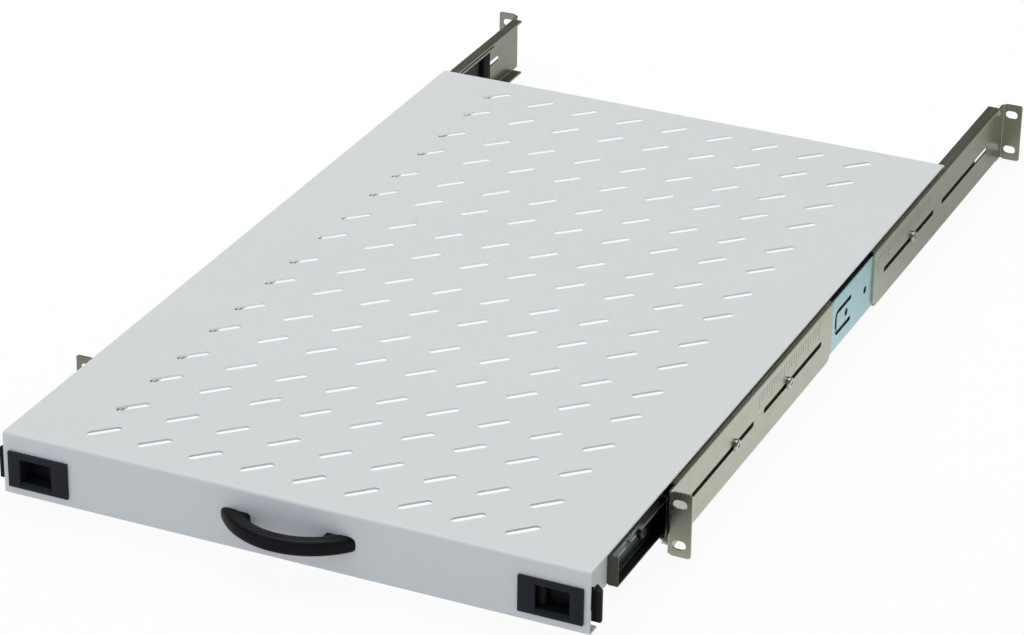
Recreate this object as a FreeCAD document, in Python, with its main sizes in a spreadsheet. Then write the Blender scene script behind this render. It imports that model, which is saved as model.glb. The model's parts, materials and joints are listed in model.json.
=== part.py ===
import FreeCAD, Part
import math
import os
import Sketcher

# Sliding rack shelf, millimetres.
# X runs to the right, Y to the back, Z up. The origin is the middle of the four
# front rack holes, on the front face of the front ears. The shelf stands pulled out.

# Driving dimensions: name, value, meaning
DIMENSIONS = [
    ("rack_width", 482.6, "outer edge of the left ear to outer edge of the right ear"),
    ("rack_opening", 450.0, "outer faces of the left and right bracket webs"),
    ("hole_span", 465.1, "left to right distance of the rack holes"),
    ("hole_pitch", 31.75, "upper to lower rack hole"),
    ("hole_width", 7.0, "width of a rack hole"),
    ("hole_length", 10.5, "length of a rack hole, end to end"),
    ("mount_depth", 740.0, "front face of the front ears to rear face of the rear ears"),
    ("bracket_sheet", 1.5, "bracket sheet thickness"),
    ("bracket_length", 323.0, "bracket length from its ear face"),
    ("bracket_flange", 10.0, "bracket flange, from the outer face of the web"),
    ("bracket_bend", 2.5, "outer bend radius of a bracket"),
    ("flange_setback", 12.0, "start of the bracket flanges behind the ear face"),
    ("ear_relief", 1.0, "step from the bracket edge to the web beside the ear"),
    ("ear_corner", 2.0, "corner radius of an ear"),
    ("end_chamfer", 8.0, "cut corner at the free end of a bracket"),
    ("adjust_slot_start", 40.0, "ear face to the first adjusting slot"),
    ("adjust_slot_length", 120.0, "length of an adjusting slot"),
    ("adjust_slot_width", 4.5, "width of an adjusting slot"),
    ("adjust_slot_gap", 20.0, "gap between the two adjusting slots"),
    ("slide_fit", 0.6, "gap between outer member and bracket flange"),
    ("slide_length", 660.0, "length of outer and inner member"),
    ("slide_thickness", 12.7, "outer face of outer member to inner face of inner member"),
    ("slide_sheet", 1.2, "slide member sheet thickness"),
    ("slide_bend", 2.2, "outer bend radius of outer and inner member webs"),
    ("inner_height", 24.8, "height of the inner member"),
    ("ball_diameter", 3.8, "bearing ball diameter"),
    ("race_clearance", 0.12, "gap between ball and raceway"),
    ("race_bend", 1.3, "inner bend radius of a raceway"),
    ("cage_sheet", 0.5, "ball cage sheet thickness"),
    ("cage_clearance", 0.3, "gap beside a ball cage"),
    ("ball_hole_clearance", 0.1, "gap between ball and cage hole"),
    ("cage_width", 5.2, "width of a cage flange past its web face"),
    ("outer_start", 11.0, "front end of the outer member behind the ear face"),
    ("middle_start", 5.5, "front end of the middle member behind the ear face"),
    ("middle_length", 610.0, "length of the middle member"),
    ("inner_setback", 57.0, "front end of the inner member behind the front panel"),
    ("outer_cage_start", 137.0, "front end of the outer ball cages"),
    ("outer_cage_length", 350.0, "length of the outer ball cages"),
    ("inner_cage_start", 132.0, "front end of the inner ball cages"),
    ("inner_cage_length", 320.0, "length of the inner ball cages"),
    ("cage_end", 12.0, "end of a cage to its first ball"),
    ("balls_per_row", 4, "balls in one row of a cage"),
    ("bumper_height", 30.0, "height of the rear slide bumper"),
    ("lance_start", 333.5, "nose of the lance in the outer member"),
    ("lance_length", 35.0, "length of the lance"),
    ("lance_height", 22.0, "height of the lance"),
    ("lance_cut", 4.0, "width of the lance cut"),
    ("lance_nose", 7.0, "nose radius of the lance"),
    ("rivet_hole", 6.4, "small holes in the outer member web"),
    ("rivet_hole_first", 358.5, "first small hole"),
    ("rivet_hole_spacing", 42.0, "first to second small hole"),
    ("screw_diameter", 3.9, "shank of the screws"),
    ("screw_clearance", 0.05, "gap between shank and its hole"),
    ("screw_head", 9.2, "head diameter of the screws"),
    ("screw_head_height", 3.0, "head height of the screws"),
    ("screw_head_round", 1.5, "edge radius of the screw heads"),
    ("front_screw_first", 124.0, "first clamping screw of the front bracket"),
    ("front_screw_spacing", 106.0, "first to second clamping screw"),
    ("rear_screw_place", 508.0, "clamping screw of the rear bracket"),
    ("inner_screw_first", 55.0, "inner member end to its first screw"),
    ("inner_screw_spacing", 275.0, "spacing of the inner member screws"),
    ("inner_screw_count", 3, "screws in an inner member"),
    ("inner_screw_tip", 2.0, "screw end past the side rail"),
    ("catch_first", 12.0, "inner member end to the first flange notch"),
    ("catch_length", 9.0, "length of a flange notch"),
    ("catch_spacing", 18.0, "spacing of the flange notches"),
    ("catch_depth", 3.0, "depth of a flange notch"),
    ("shelf_width", 446.0, "shelf width"),
    ("shelf_depth", 720.0, "shelf depth"),
    ("shelf_pulled", 132.0, "front panel before the ear face, as it stands"),
    ("shelf_gap", 3.5, "gap between the brackets and the shelf"),
    ("shelf_sheet", 1.5, "shelf sheet thickness"),
    ("shelf_bend", 2.5, "outer bend radius of the shelf"),
    ("panel_height", 48.2, "front panel height"),
    ("panel_return", 12.0, "bottom return of the front panel"),
    ("rear_fold", 10.0, "height of the rear fold"),
    ("slot_length", 25.0, "vent slot length"),
    ("slot_width", 6.0, "vent slot width"),
    ("slot_columns", 9, "vent slot columns"),
    ("slot_column_pitch", 40.0, "column spacing"),
    ("slot_margin", 32.0, "front edge to the first slot row"),
    ("slot_row_pitch", 40.0, "row spacing within a pair of rows"),
    ("slot_pair_pitch", 88.0, "spacing of the pairs of rows"),
    ("slot_pairs", 8, "pairs of rows"),
    ("rail_flange", 15.0, "side rail flange under the shelf"),
    ("rail_setback", 24.0, "front end of the side rail behind the front panel"),
    ("rail_clearance", 0.5, "gap between side rail and the rear fold"),
    ("handle_span", 87.0, "feet distance of the handle arc at the panel"),
    ("handle_rise", 19.2, "centre line of the bow before the panel"),
    ("handle_bar", 12.0, "height and depth of the handle bar"),
    ("handle_round", 4.0, "edge radius of the handle bar"),
    ("handle_drop", 22.7, "handle centre below the shelf top"),
    ("handle_foot_length", 15.0, "handle foot length"),
    ("handle_foot_height", 9.0, "handle foot height"),
    ("handle_foot_thickness", 8.0, "handle foot thickness"),
    ("handle_foot_round", 1.5, "handle foot corner radius"),
    ("handle_screw_span", 75.0, "distance of the handle screws"),
    ("handle_screw_depth", 9.0, "handle screw depth in the handle"),
    ("latch_place", 195.0, "middle of the shelf to the middle of a latch"),
    ("latch_drop", 27.1, "latch centre below the shelf top"),
    ("bezel_width", 47.4, "latch bezel width"),
    ("bezel_height", 27.6, "latch bezel height"),
    ("bezel_thickness", 2.2, "latch bezel before the panel"),
    ("bezel_round", 0.5, "latch bezel corner radius"),
    ("window_offset", 1.6, "latch middle to window middle, outwards"),
    ("window_width", 25.2, "finger window width"),
    ("window_height", 18.6, "finger window height"),
    ("housing_wall", 1.7, "latch housing wall"),
    ("housing_depth", 15.0, "latch housing behind the panel face"),
    ("panel_fit", 0.3, "gap between housing and panel cut-out"),
    ("snap_lug", 1.1, "snap lug height"),
    ("snap_lug_length", 10.0, "snap lug length"),
    ("snap_lug_depth", 4.0, "snap lug depth"),
    ("snap_gap", 0.2, "gap between snap lug and panel"),
    ("bolt_clearance", 0.3, "gap between bolt and housing"),
    ("bolt_travel", 6.5, "travel of a latch bolt"),
    ("bolt_lap", 1.7, "finger wall behind the bezel, past the window edge"),
    ("bolt_wall", 6.9, "finger wall thickness of the bolt"),
    ("bolt_plate", 2.0, "thickness of the plate between finger wall and tongue"),
    ("bolt_recess", 4.0, "finger wall behind the panel face"),
    ("tongue_height", 23.6, "tongue height"),
    ("tongue_depth", 9.0, "tongue depth"),
    ("tongue_tip", 229.0, "middle of the shelf to the tip of the tongue"),
    ("tongue_length", 7.0, "tongue length"),
    ("tongue_bevel", 6.0, "slam bevel of the tongue"),
    ("tongue_groove", 1.2, "width and depth of the groove in the tongue"),
    ("spring_space", 0.9, "room left for the pressed spring"),
    ("spring_leaf", 0.4, "thickness of the leaf spring"),
    ("spring_height", 8.0, "height of the leaf spring"),
    ("cut_margin", 12.0, "reach of a cut past the sheet it opens"),
]

doc = FreeCAD.newDocument("sliding_rack_shelf")
sheet = doc.addObject("Spreadsheet::Sheet", "Dimensions")
for row, (alias, value, meaning) in enumerate(DIMENSIONS, 1):
    sheet.set(f"A{row}", meaning)
    sheet.set(f"B{row}", str(value))
    sheet.setAlias(f"B{row}", alias)
doc.recompute()


class Size:
    """A length: its value, and the sheet expression that gives it."""

    def __init__(self, text, value):
        self.text = text
        self.value = value

    def joined(self, sign, other, value):
        return Size(f"({self.text} {sign} {other.text})", value)

    def __add__(self, other):
        other = as_size(other)
        return self.joined("+", other, self.value + other.value)

    def __sub__(self, other):
        other = as_size(other)
        return self.joined("-", other, self.value - other.value)

    def __mul__(self, other):
        other = as_size(other)
        return self.joined("*", other, self.value * other.value)

    def __truediv__(self, other):
        other = as_size(other)
        return self.joined("/", other, self.value / other.value)

    def __rsub__(self, other):
        return as_size(other) - self

    def __neg__(self):
        return as_size(0) - self


def as_size(value):
    return value if isinstance(value, Size) else Size(str(value), float(value))


class Dimensions:
    """The sheet's named cells as attributes."""

    def __getattr__(self, alias):
        return Size(f"Dimensions.{alias}", float(sheet.get(alias)))


dim = Dimensions()

PLANES = {"XY": "XY_Plane", "XZ": "XZ_Plane", "YZ": "YZ_Plane"}
AXES = {"X": "X_Axis", "Y": "Y_Axis", "Z": "Z_Axis"}


def origin_feature(body, role):
    return next(item for item in body.Origin.OriginFeatures if item.Role == role)


def new_body(name):
    body = doc.addObject("PartDesign::Body", name)
    body.Label = name
    return body


def bind(item, path, size):
    item.setExpression(path, as_size(size).text)


# Sketches

def fix_point(sketch, geometry, position, place):
    """Tie one end of a curve to its place."""
    for kind, axis, size in (("DistanceX", -2, place[0]), ("DistanceY", -1, place[1])):
        size = as_size(size)
        if size.text == "0":
            sketch.addConstraint(Sketcher.Constraint("PointOnObject", geometry, position, axis))
            continue
        number = sketch.addConstraint(
            Sketcher.Constraint(kind, -1, 1, geometry, position, size.value))
        bind(sketch, f"Constraints[{number}]", size)


def fix_radius(sketch, geometry, radius):
    number = sketch.addConstraint(Sketcher.Constraint("Radius", geometry, radius.value))
    bind(sketch, f"Constraints[{number}]", radius)


def vector(place):
    return FreeCAD.Vector(as_size(place[0]).value, as_size(place[1]).value, 0)


def side(here, there):
    """Unit step along X or Y from one corner to the next."""
    dx = as_size(there[0]).value - as_size(here[0]).value
    dy = as_size(there[1]).value - as_size(here[1]).value
    if abs(dx) > abs(dy):
        return (math.copysign(1, dx), 0)
    return (0, math.copysign(1, dy))


def moved(place, step, distance):
    return tuple(as_size(part) + distance * sign if sign else as_size(part)
                 for part, sign in zip(place, step))


def add_outline(sketch, corners):
    """Closed outline; a corner with a third entry is a right angle rounded by that radius."""
    count = len(corners)
    entries, exits, arcs = [], [], []
    for index, corner in enumerate(corners):
        place = corner[:2]
        if len(corner) == 2:
            entries.append(place)
            exits.append(place)
            arcs.append(None)
            continue
        back = side(place, corners[index - 1])
        ahead = side(place, corners[(index + 1) % count])
        radius = as_size(corner[2])
        entries.append(moved(place, back, radius))
        exits.append(moved(place, ahead, radius))
        centre = vector(moved(moved(place, back, radius), ahead, radius))
        start, end = (entries[-1], exits[-1])
        turns_left = back[0] * ahead[1] - back[1] * ahead[0] < 0
        if not turns_left:
            start, end = end, start
        first = vector(start) - centre
        angle = math.atan2(first.y, first.x)
        circle = Part.Circle(centre, FreeCAD.Vector(0, 0, 1), radius.value)
        arc = sketch.addGeometry(Part.ArcOfCircle(circle, angle, angle + math.pi / 2), False)
        arcs.append((arc, 1 if turns_left else 2, 2 if turns_left else 1, radius))
    lines = [sketch.addGeometry(Part.LineSegment(vector(exits[index]),
                                                 vector(entries[(index + 1) % count])), False)
             for index in range(count)]
    for index in range(count):
        before, after = lines[index - 1], lines[index]
        fix_point(sketch, after, 1, exits[index])
        if arcs[index] is None:
            sketch.addConstraint(Sketcher.Constraint("Coincident", before, 2, after, 1))
            continue
        arc, entry_end, exit_end, radius = arcs[index]
        fix_point(sketch, before, 2, entries[index])
        sketch.addConstraint(Sketcher.Constraint("Coincident", before, 2, arc, entry_end))
        sketch.addConstraint(Sketcher.Constraint("Coincident", arc, exit_end, after, 1))
        fix_radius(sketch, arc, radius)


def add_circle(sketch, centre, radius):
    circle = Part.Circle(vector(centre), FreeCAD.Vector(0, 0, 1), radius.value)
    number = sketch.addGeometry(circle, False)
    fix_point(sketch, number, 3, centre)
    fix_radius(sketch, number, radius)


def add_slot(sketch, first, second, radius):
    """Round-ended slot from its first to its second end centre."""
    run = vector(second) - vector(first)
    heading = math.atan2(run.y, run.x)
    normal = FreeCAD.Vector(-math.sin(heading), math.cos(heading), 0) * radius.value
    arcs = []
    for centre, start in ((first, heading + math.pi / 2), (second, heading - math.pi / 2)):
        circle = Part.Circle(vector(centre), FreeCAD.Vector(0, 0, 1), radius.value)
        arcs.append(sketch.addGeometry(Part.ArcOfCircle(circle, start, start + math.pi), False))
    near = sketch.addGeometry(
        Part.LineSegment(vector(first) - normal, vector(second) - normal), False)
    far = sketch.addGeometry(
        Part.LineSegment(vector(second) + normal, vector(first) + normal), False)
    sketch.addConstraint(Sketcher.Constraint("Tangent", arcs[0], 2, near, 1))
    sketch.addConstraint(Sketcher.Constraint("Tangent", near, 2, arcs[1], 1))
    sketch.addConstraint(Sketcher.Constraint("Tangent", arcs[1], 2, far, 1))
    sketch.addConstraint(Sketcher.Constraint("Tangent", far, 2, arcs[0], 1))
    sketch.addConstraint(Sketcher.Constraint("Equal", arcs[0], arcs[1]))
    fix_point(sketch, arcs[0], 3, first)
    fix_point(sketch, arcs[1], 3, second)
    fix_radius(sketch, arcs[0], radius)


def add_axis(sketch, first, second):
    number = sketch.addGeometry(Part.LineSegment(vector(first), vector(second)), True)
    fix_point(sketch, number, 1, first)
    fix_point(sketch, number, 2, second)


def new_sketch(body, name, plane, place):
    """Sketch on one of the body's own planes, shifted to its place along the third axis."""
    sketch = body.newObject("Sketcher::SketchObject", name)
    sketch.AttachmentSupport = (origin_feature(body, PLANES[plane]), [""])
    sketch.MapMode = "FlatFace"
    place = as_size(place)
    bind(sketch, "AttachmentOffset.Base.z", -place if plane == "XZ" else place)
    return sketch


def draw(body, name, plane, place, shapes):
    sketch = new_sketch(body, name, plane, place)
    for add, *values in shapes:
        add(sketch, *values)
    return sketch


def outline(*corners):
    return [(add_outline, corners)]


def rectangle(left, right, low, high, radius=None):
    corners = [(left, low), (right, low), (right, high), (left, high)]
    if radius is not None:
        corners = [corner + (radius,) for corner in corners]
    return outline(*corners)


# Features

def pad(body, name, plane, shapes, start, end):
    """Solid between two places along the axis that stands on the plane."""
    sketch = draw(body, f"{name}_sketch", plane, start, shapes)
    feature = body.newObject("PartDesign::Pad", name)
    feature.Profile = sketch
    feature.Reversed = plane == "XZ"
    bind(feature, "Length", as_size(end) - start)
    return feature


def pocket(body, name, plane, shapes, start, end):
    """Cut between two places along the axis that stands on the plane."""
    sketch = draw(body, f"{name}_sketch", plane, start if plane == "XZ" else end, shapes)
    feature = body.newObject("PartDesign::Pocket", name)
    feature.Profile = sketch
    bind(feature, "Length", as_size(end) - start)
    return feature


def turn(body, name, plane, place, axis, shapes, angle=360):
    """Solid of revolution about an axis drawn in the sketch."""
    sketch = draw(body, f"{name}_sketch", plane, place, [(add_axis, *axis)] + shapes)
    feature = body.newObject("PartDesign::Revolution", name)
    feature.Profile = sketch
    feature.ReferenceAxis = (sketch, ["Axis0"])
    feature.Angle = angle
    feature.Midplane = angle != 360
    return feature


def row_step(body, axis, spacing, count, reverse=False):
    step = doc.addObject("PartDesign::LinearPattern", f"{body.Name}_row")
    step.Direction = (origin_feature(body, AXES[axis]), [""])
    step.Mode = "Spacing"
    step.Reversed = reverse
    bind(step, "Offset", spacing)
    bind(step, "Occurrences", count)
    return step


def mirror_step(body, plane):
    step = doc.addObject("PartDesign::Mirrored", f"{body.Name}_mirror")
    step.MirrorPlane = (origin_feature(body, PLANES[plane]), [""])
    return step


def repeat(body, name, features, steps):
    """Copies of features by rows and mirrors, one after the other."""
    feature = body.newObject("PartDesign::MultiTransform", name)
    feature.Originals = features
    feature.Transformations = steps
    for step in steps:
        body.addObject(step)
    body.Tip = feature
    return feature


def mirrored(source, name, normal):
    """A piece mirrored from another in a plane through the origin."""
    piece = doc.addObject("Part::Mirroring", name)
    piece.Label = name
    piece.Source = source
    piece.Normal = FreeCAD.Vector(*normal)
    return piece


def left_of(right):
    return mirrored(right, right.Label.replace("right", "left"), (1, 0, 0))


# Shared places

web_face = dim.rack_opening / 2
slide_face = web_face - dim.bracket_sheet
race_gap = dim.ball_diameter / 2 + dim.race_clearance

inner_top = dim.inner_height / 2
inner_ball_height = inner_top + race_gap
middle_top = inner_ball_height + race_gap + dim.slide_sheet
outer_ball_height = middle_top + race_gap
outer_top = outer_ball_height + race_gap + dim.slide_sheet
bracket_top = outer_top + dim.slide_fit + dim.bracket_sheet

outer_web_inside = slide_face - dim.slide_sheet
outer_cage_face = outer_web_inside - dim.cage_clearance
middle_face = outer_cage_face - dim.cage_sheet - dim.cage_clearance
middle_web_inside = middle_face - dim.slide_sheet
ball_place = middle_web_inside - race_gap
lip_outside = ball_place - race_gap
lip_inside = lip_outside - dim.slide_sheet
lip_gap = dim.cage_sheet / 2 + dim.cage_clearance
inner_cage_face = middle_web_inside - dim.cage_clearance
inner_edge = inner_cage_face - dim.cage_sheet - dim.cage_clearance
rail_face = slide_face - dim.slide_thickness
inner_web_outside = rail_face + dim.slide_sheet

shelf_top = bracket_top + dim.shelf_gap + dim.shelf_sheet
shelf_under = shelf_top - dim.shelf_sheet
panel_front = -dim.shelf_pulled
panel_back = panel_front + dim.shelf_sheet
panel_bottom = shelf_top - dim.panel_height
shelf_rear = panel_front + dim.shelf_depth
shelf_edge = dim.shelf_width / 2
inner_start = panel_front + dim.inner_setback
inner_bend = dim.shelf_bend - dim.shelf_sheet

handle_height = shelf_top - dim.handle_drop
latch_height = shelf_top - dim.latch_drop
window_middle = dim.latch_place + dim.window_offset
window_outer = window_middle + dim.window_width / 2
window_inner = window_middle - dim.window_width / 2
housing_outer = window_outer + dim.housing_wall
bolt_inner = window_inner - dim.bolt_lap
cavity_inner = bolt_inner - dim.bolt_travel - dim.spring_space
housing_inner = cavity_inner - dim.housing_wall
housing_half = dim.window_height / 2 + dim.housing_wall
housing_back = panel_front + dim.housing_depth
cavity_back = housing_back - dim.housing_wall
bolt_back = cavity_back - dim.bolt_clearance
bolt_half = dim.window_height / 2 - dim.bolt_clearance
plate_front = bolt_back - dim.bolt_plate

screw_radius = dim.screw_diameter / 2
screw_hole = screw_radius + dim.screw_clearance
over = dim.cut_margin


# Shelf

def shelf_tray():
    """Top, front panel, bottom return and rear fold of one sheet, with vent slots."""
    body = new_body("shelf_tray")
    fold = dim.shelf_bend
    section = outline(
        (panel_front + dim.panel_return, panel_bottom),
        (panel_front, panel_bottom, fold),
        (panel_front, shelf_top, fold),
        (shelf_rear, shelf_top, fold),
        (shelf_rear, shelf_top - dim.rear_fold),
        (shelf_rear - dim.shelf_sheet, shelf_top - dim.rear_fold),
        (shelf_rear - dim.shelf_sheet, shelf_under, inner_bend),
        (panel_back, shelf_under, inner_bend),
        (panel_back, panel_bottom + dim.shelf_sheet, inner_bend),
        (panel_front + dim.panel_return, panel_bottom + dim.shelf_sheet))
    pad(body, "tray_sheet", "YZ", section, -shelf_edge, shelf_edge)

    corner = rectangle(rail_face, shelf_edge + over,
                       shelf_top - dim.rear_fold - over, shelf_top - dim.shelf_bend)
    rear_corner = pocket(body, "rear_corner", "XZ", corner,
                         shelf_rear - dim.shelf_bend, shelf_rear + over)
    repeat(body, "rear_corners", [rear_corner], [mirror_step(body, "YZ")])

    cutout = rectangle(housing_inner - dim.panel_fit, housing_outer + dim.panel_fit,
                       latch_height - housing_half - dim.panel_fit,
                       latch_height + housing_half + dim.panel_fit)
    latch_cutout = pocket(body, "latch_cutout", "XZ", cutout, panel_front, panel_back)
    repeat(body, "latch_cutouts", [latch_cutout], [mirror_step(body, "YZ")])

    hole = [(add_circle, (dim.handle_screw_span / 2, handle_height), screw_hole)]
    handle_hole = pocket(body, "handle_hole", "XZ", hole, panel_front, panel_back)
    repeat(body, "handle_holes", [handle_hole], [mirror_step(body, "YZ")])

    reach = (dim.slot_length - dim.slot_width) / (2 * math.sqrt(2))
    across = -(dim.slot_columns - 1) * dim.slot_column_pitch / 2
    along = panel_front + dim.slot_margin
    slot = [(add_slot, (across - reach, along - reach), (across + reach, along + reach),
             dim.slot_width / 2)]
    vent_slot = pocket(body, "vent_slot", "XY", slot, shelf_under, shelf_top)
    repeat(body, "vent_slots", [vent_slot],
           [row_step(body, "X", dim.slot_column_pitch, dim.slot_columns),
            row_step(body, "Y", dim.slot_row_pitch, 2),
            row_step(body, "Y", dim.slot_pair_pitch, dim.slot_pairs)])
    return body


def side_rail():
    """Angle welded under the shelf edge; its wall carries the inner slide member."""
    body = new_body("right_side_rail")
    wall_inside = rail_face - dim.shelf_sheet
    flange_edge = rail_face - dim.rail_flange
    section = outline(
        (flange_edge, shelf_under - dim.shelf_sheet),
        (wall_inside, shelf_under - dim.shelf_sheet, inner_bend),
        (wall_inside, -inner_top),
        (rail_face, -inner_top),
        (rail_face, shelf_under, dim.shelf_bend),
        (flange_edge, shelf_under))
    pad(body, "rail_sheet", "XZ", section, panel_front + dim.rail_setback,
        shelf_rear - dim.shelf_bend - dim.rail_clearance)
    hole = [(add_circle, (inner_start + dim.inner_screw_first, 0), screw_hole)]
    rail_hole = pocket(body, "rail_hole", "YZ", hole, wall_inside, rail_face)
    repeat(body, "rail_holes", [rail_hole],
           [row_step(body, "Y", dim.inner_screw_spacing, dim.inner_screw_count)])
    return body


def handle():
    """Bow handle: a round-edged bar bent to an arc between two feet on the panel."""
    body = new_body("handle")
    half_span = dim.handle_span / 2
    bow_radius = (half_span * half_span + dim.handle_rise * dim.handle_rise) / (dim.handle_rise * 2)
    bow_centre = panel_front - dim.handle_rise + bow_radius
    bar_front = panel_front - dim.handle_rise - dim.handle_bar / 2
    section = rectangle(bar_front, bar_front + dim.handle_bar,
                        handle_height - dim.handle_bar / 2, handle_height + dim.handle_bar / 2,
                        dim.handle_round)
    turn(body, "bow", "YZ", 0, ((bow_centre, handle_height - over), (bow_centre, handle_height + over)),
         section, 180)
    reach = half_span + dim.handle_span
    behind = rectangle(-reach, reach, handle_height - over, handle_height + over)
    pocket(body, "panel_side", "XZ", behind, panel_front, bow_centre + bow_radius + over)
    middle = dim.handle_screw_span / 2
    foot = rectangle(middle - dim.handle_foot_length / 2, middle + dim.handle_foot_length / 2,
                     handle_height - dim.handle_foot_height / 2,
                     handle_height + dim.handle_foot_height / 2, dim.handle_foot_round)
    handle_foot = pad(body, "handle_foot", "XZ", foot,
                      panel_front - dim.handle_foot_thickness, panel_front)
    repeat(body, "handle_feet", [handle_foot], [mirror_step(body, "YZ")])
    hole = [(add_circle, (middle, handle_height), screw_hole)]
    screw_bore = pocket(body, "screw_bore", "XZ", hole,
                        panel_front - dim.handle_screw_depth - dim.screw_clearance, panel_front)
    repeat(body, "screw_bores", [screw_bore], [mirror_step(body, "YZ")])
    return body


def screw_profile(tip, seat, axis, facing):
    """Half section of a pan-head screw along X, its head on the facing side of the seat."""
    top = seat + dim.screw_head_height * facing
    return outline((tip, axis), (tip, axis + screw_radius), (seat, axis + screw_radius),
                   (seat, axis + dim.screw_head / 2),
                   (top, axis + dim.screw_head / 2, dim.screw_head_round), (top, axis))


def handle_screws():
    body = new_body("handle_screws")
    middle = dim.handle_screw_span / 2
    tip = panel_front - dim.handle_screw_depth
    top = panel_back + dim.screw_head_height
    section = outline((middle, tip), (middle + screw_radius, tip), (middle + screw_radius, panel_back),
                      (middle + dim.screw_head / 2, panel_back),
                      (middle + dim.screw_head / 2, top, dim.screw_head_round), (middle, top))
    screw = turn(body, "screw", "XY", handle_height, ((middle, tip), (middle, top)), section)
    repeat(body, "screws", [screw], [mirror_step(body, "YZ")])
    return body


# Latches

def latch_housing():
    """Bezel on the panel and a box behind it, open at the window and beside the tongue."""
    body = new_body("right_latch_housing")
    half = housing_half
    box = rectangle(housing_inner, housing_outer, latch_height - half, latch_height + half)
    pad(body, "housing_box", "XZ", box, panel_front, housing_back)
    bezel = rectangle(dim.latch_place - dim.bezel_width / 2, dim.latch_place + dim.bezel_width / 2,
                      latch_height - dim.bezel_height / 2, latch_height + dim.bezel_height / 2,
                      dim.bezel_round)
    pad(body, "bezel", "XZ", bezel, panel_front - dim.bezel_thickness, panel_front)
    lug_low = panel_back + dim.snap_gap
    for name, start, end in (("upper", half, half + dim.snap_lug),
                             ("lower", -half - dim.snap_lug, -half)):
        lug = rectangle(window_middle - dim.snap_lug_length / 2, window_middle + dim.snap_lug_length / 2,
                        lug_low, lug_low + dim.snap_lug_depth)
        pad(body, f"{name}_snap_lug", "XY", lug, latch_height + start, latch_height + end)
    low = latch_height - dim.window_height / 2
    high = latch_height + dim.window_height / 2
    pocket(body, "cavity", "XZ", rectangle(cavity_inner, window_outer, low, high),
           panel_front, cavity_back)
    pocket(body, "window", "XZ", rectangle(window_inner, window_outer, low, high),
           panel_front - dim.bezel_thickness, panel_front)
    pocket(body, "tongue_slot", "YZ",
           rectangle(plate_front - dim.bolt_clearance, cavity_back, low, high),
           window_outer, housing_outer)
    return body


def latch_bolt():
    """Finger wall, plate behind the recess, and the bevelled tongue."""
    body = new_body("right_latch_bolt")
    wall_outer = bolt_inner + dim.bolt_wall
    wall_front = panel_front + dim.bolt_recess
    tongue_inner = dim.tongue_tip - dim.tongue_length
    slider = outline((bolt_inner, wall_front), (wall_outer, wall_front), (wall_outer, plate_front),
                     (tongue_inner, plate_front), (tongue_inner, bolt_back), (bolt_inner, bolt_back))
    pad(body, "slider", "XY", slider, latch_height - bolt_half, latch_height + bolt_half)
    tongue_front = bolt_back - dim.tongue_depth
    tongue = outline((tongue_inner, tongue_front), (dim.tongue_tip, tongue_front),
                     (dim.tongue_tip, bolt_back - dim.tongue_bevel),
                     (dim.tongue_tip - dim.tongue_bevel, bolt_back), (tongue_inner, bolt_back))
    low = latch_height - dim.tongue_height / 2
    high = latch_height + dim.tongue_height / 2
    pad(body, "tongue", "XY", tongue, low, high)
    groove_middle = dim.tongue_tip - dim.tongue_length / 2
    groove = rectangle(groove_middle - dim.tongue_groove / 2, groove_middle + dim.tongue_groove / 2,
                       tongue_front, tongue_front + dim.tongue_groove)
    pocket(body, "groove", "XY", groove, low, high)
    return body


def latch_spring():
    """Bowed leaf between the housing and the finger wall."""
    body = new_body("right_latch_spring")
    middle = (panel_front + bolt_back) / 2
    reach = dim.spring_height / 2
    leaf = dim.spring_leaf
    bow = outline((cavity_inner, middle - reach), (cavity_inner + leaf, middle - reach),
                  (bolt_inner, middle - leaf), (bolt_inner, middle + leaf),
                  (cavity_inner + leaf, middle + reach), (cavity_inner, middle + reach),
                  (bolt_inner - leaf * 2, middle))
    pad(body, "leaf", "XY", bow, latch_height - reach, latch_height + reach)
    return body


# Slides

def channel(web, inside, edge, lip_edge, top, lip_end, web_bend):
    """Section of a slide member whose flanges end in short lips round the balls."""
    sheet_thickness = dim.slide_sheet
    under = top - sheet_thickness
    race = dim.race_bend
    crown = race + sheet_thickness
    return outline(
        (web, -top, web_bend), (edge, -top, crown), (edge, -lip_end), (lip_edge, -lip_end),
        (lip_edge, -under, race), (inside, -under, web_bend - sheet_thickness),
        (inside, under, web_bend - sheet_thickness), (lip_edge, under, race), (lip_edge, lip_end),
        (edge, lip_end), (edge, top, crown), (web, top, web_bend))


def outer_member():
    """Fixed slide member: raceways, clamping holes, lance and small holes in its web."""
    body = new_body("right_outer_member")
    section = channel(slide_face, outer_web_inside, lip_inside, lip_outside, outer_top,
                      outer_ball_height + lip_gap, dim.slide_bend)
    pad(body, "outer_sheet", "XZ", section, dim.outer_start, dim.outer_start + dim.slide_length)
    nose = dim.lance_start
    tail = nose + dim.lance_length
    half = dim.lance_height / 2
    width = dim.lance_cut
    lance = outline((nose, -half, dim.lance_nose), (tail, -half), (tail, width - half),
                    (nose + width, width - half, dim.lance_nose - width),
                    (nose + width, half - width, dim.lance_nose - width), (tail, half - width),
                    (tail, half), (nose, half, dim.lance_nose))
    pocket(body, "lance", "YZ", lance, outer_web_inside, slide_face)
    for name, first, spacing, radius in (
            ("rivet_hole", dim.rivet_hole_first, dim.rivet_hole_spacing, dim.rivet_hole / 2),
            ("front_screw_hole", dim.front_screw_first, dim.front_screw_spacing, screw_hole)):
        hole = pocket(body, name, "YZ", [(add_circle, (first, 0), radius)], outer_web_inside, slide_face)
        repeat(body, f"{name}s", [hole], [row_step(body, "Y", spacing, 2)])
    pocket(body, "rear_screw_hole", "YZ", [(add_circle, (dim.rear_screw_place, 0), screw_hole)],
           outer_web_inside, slide_face)
    return body


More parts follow.
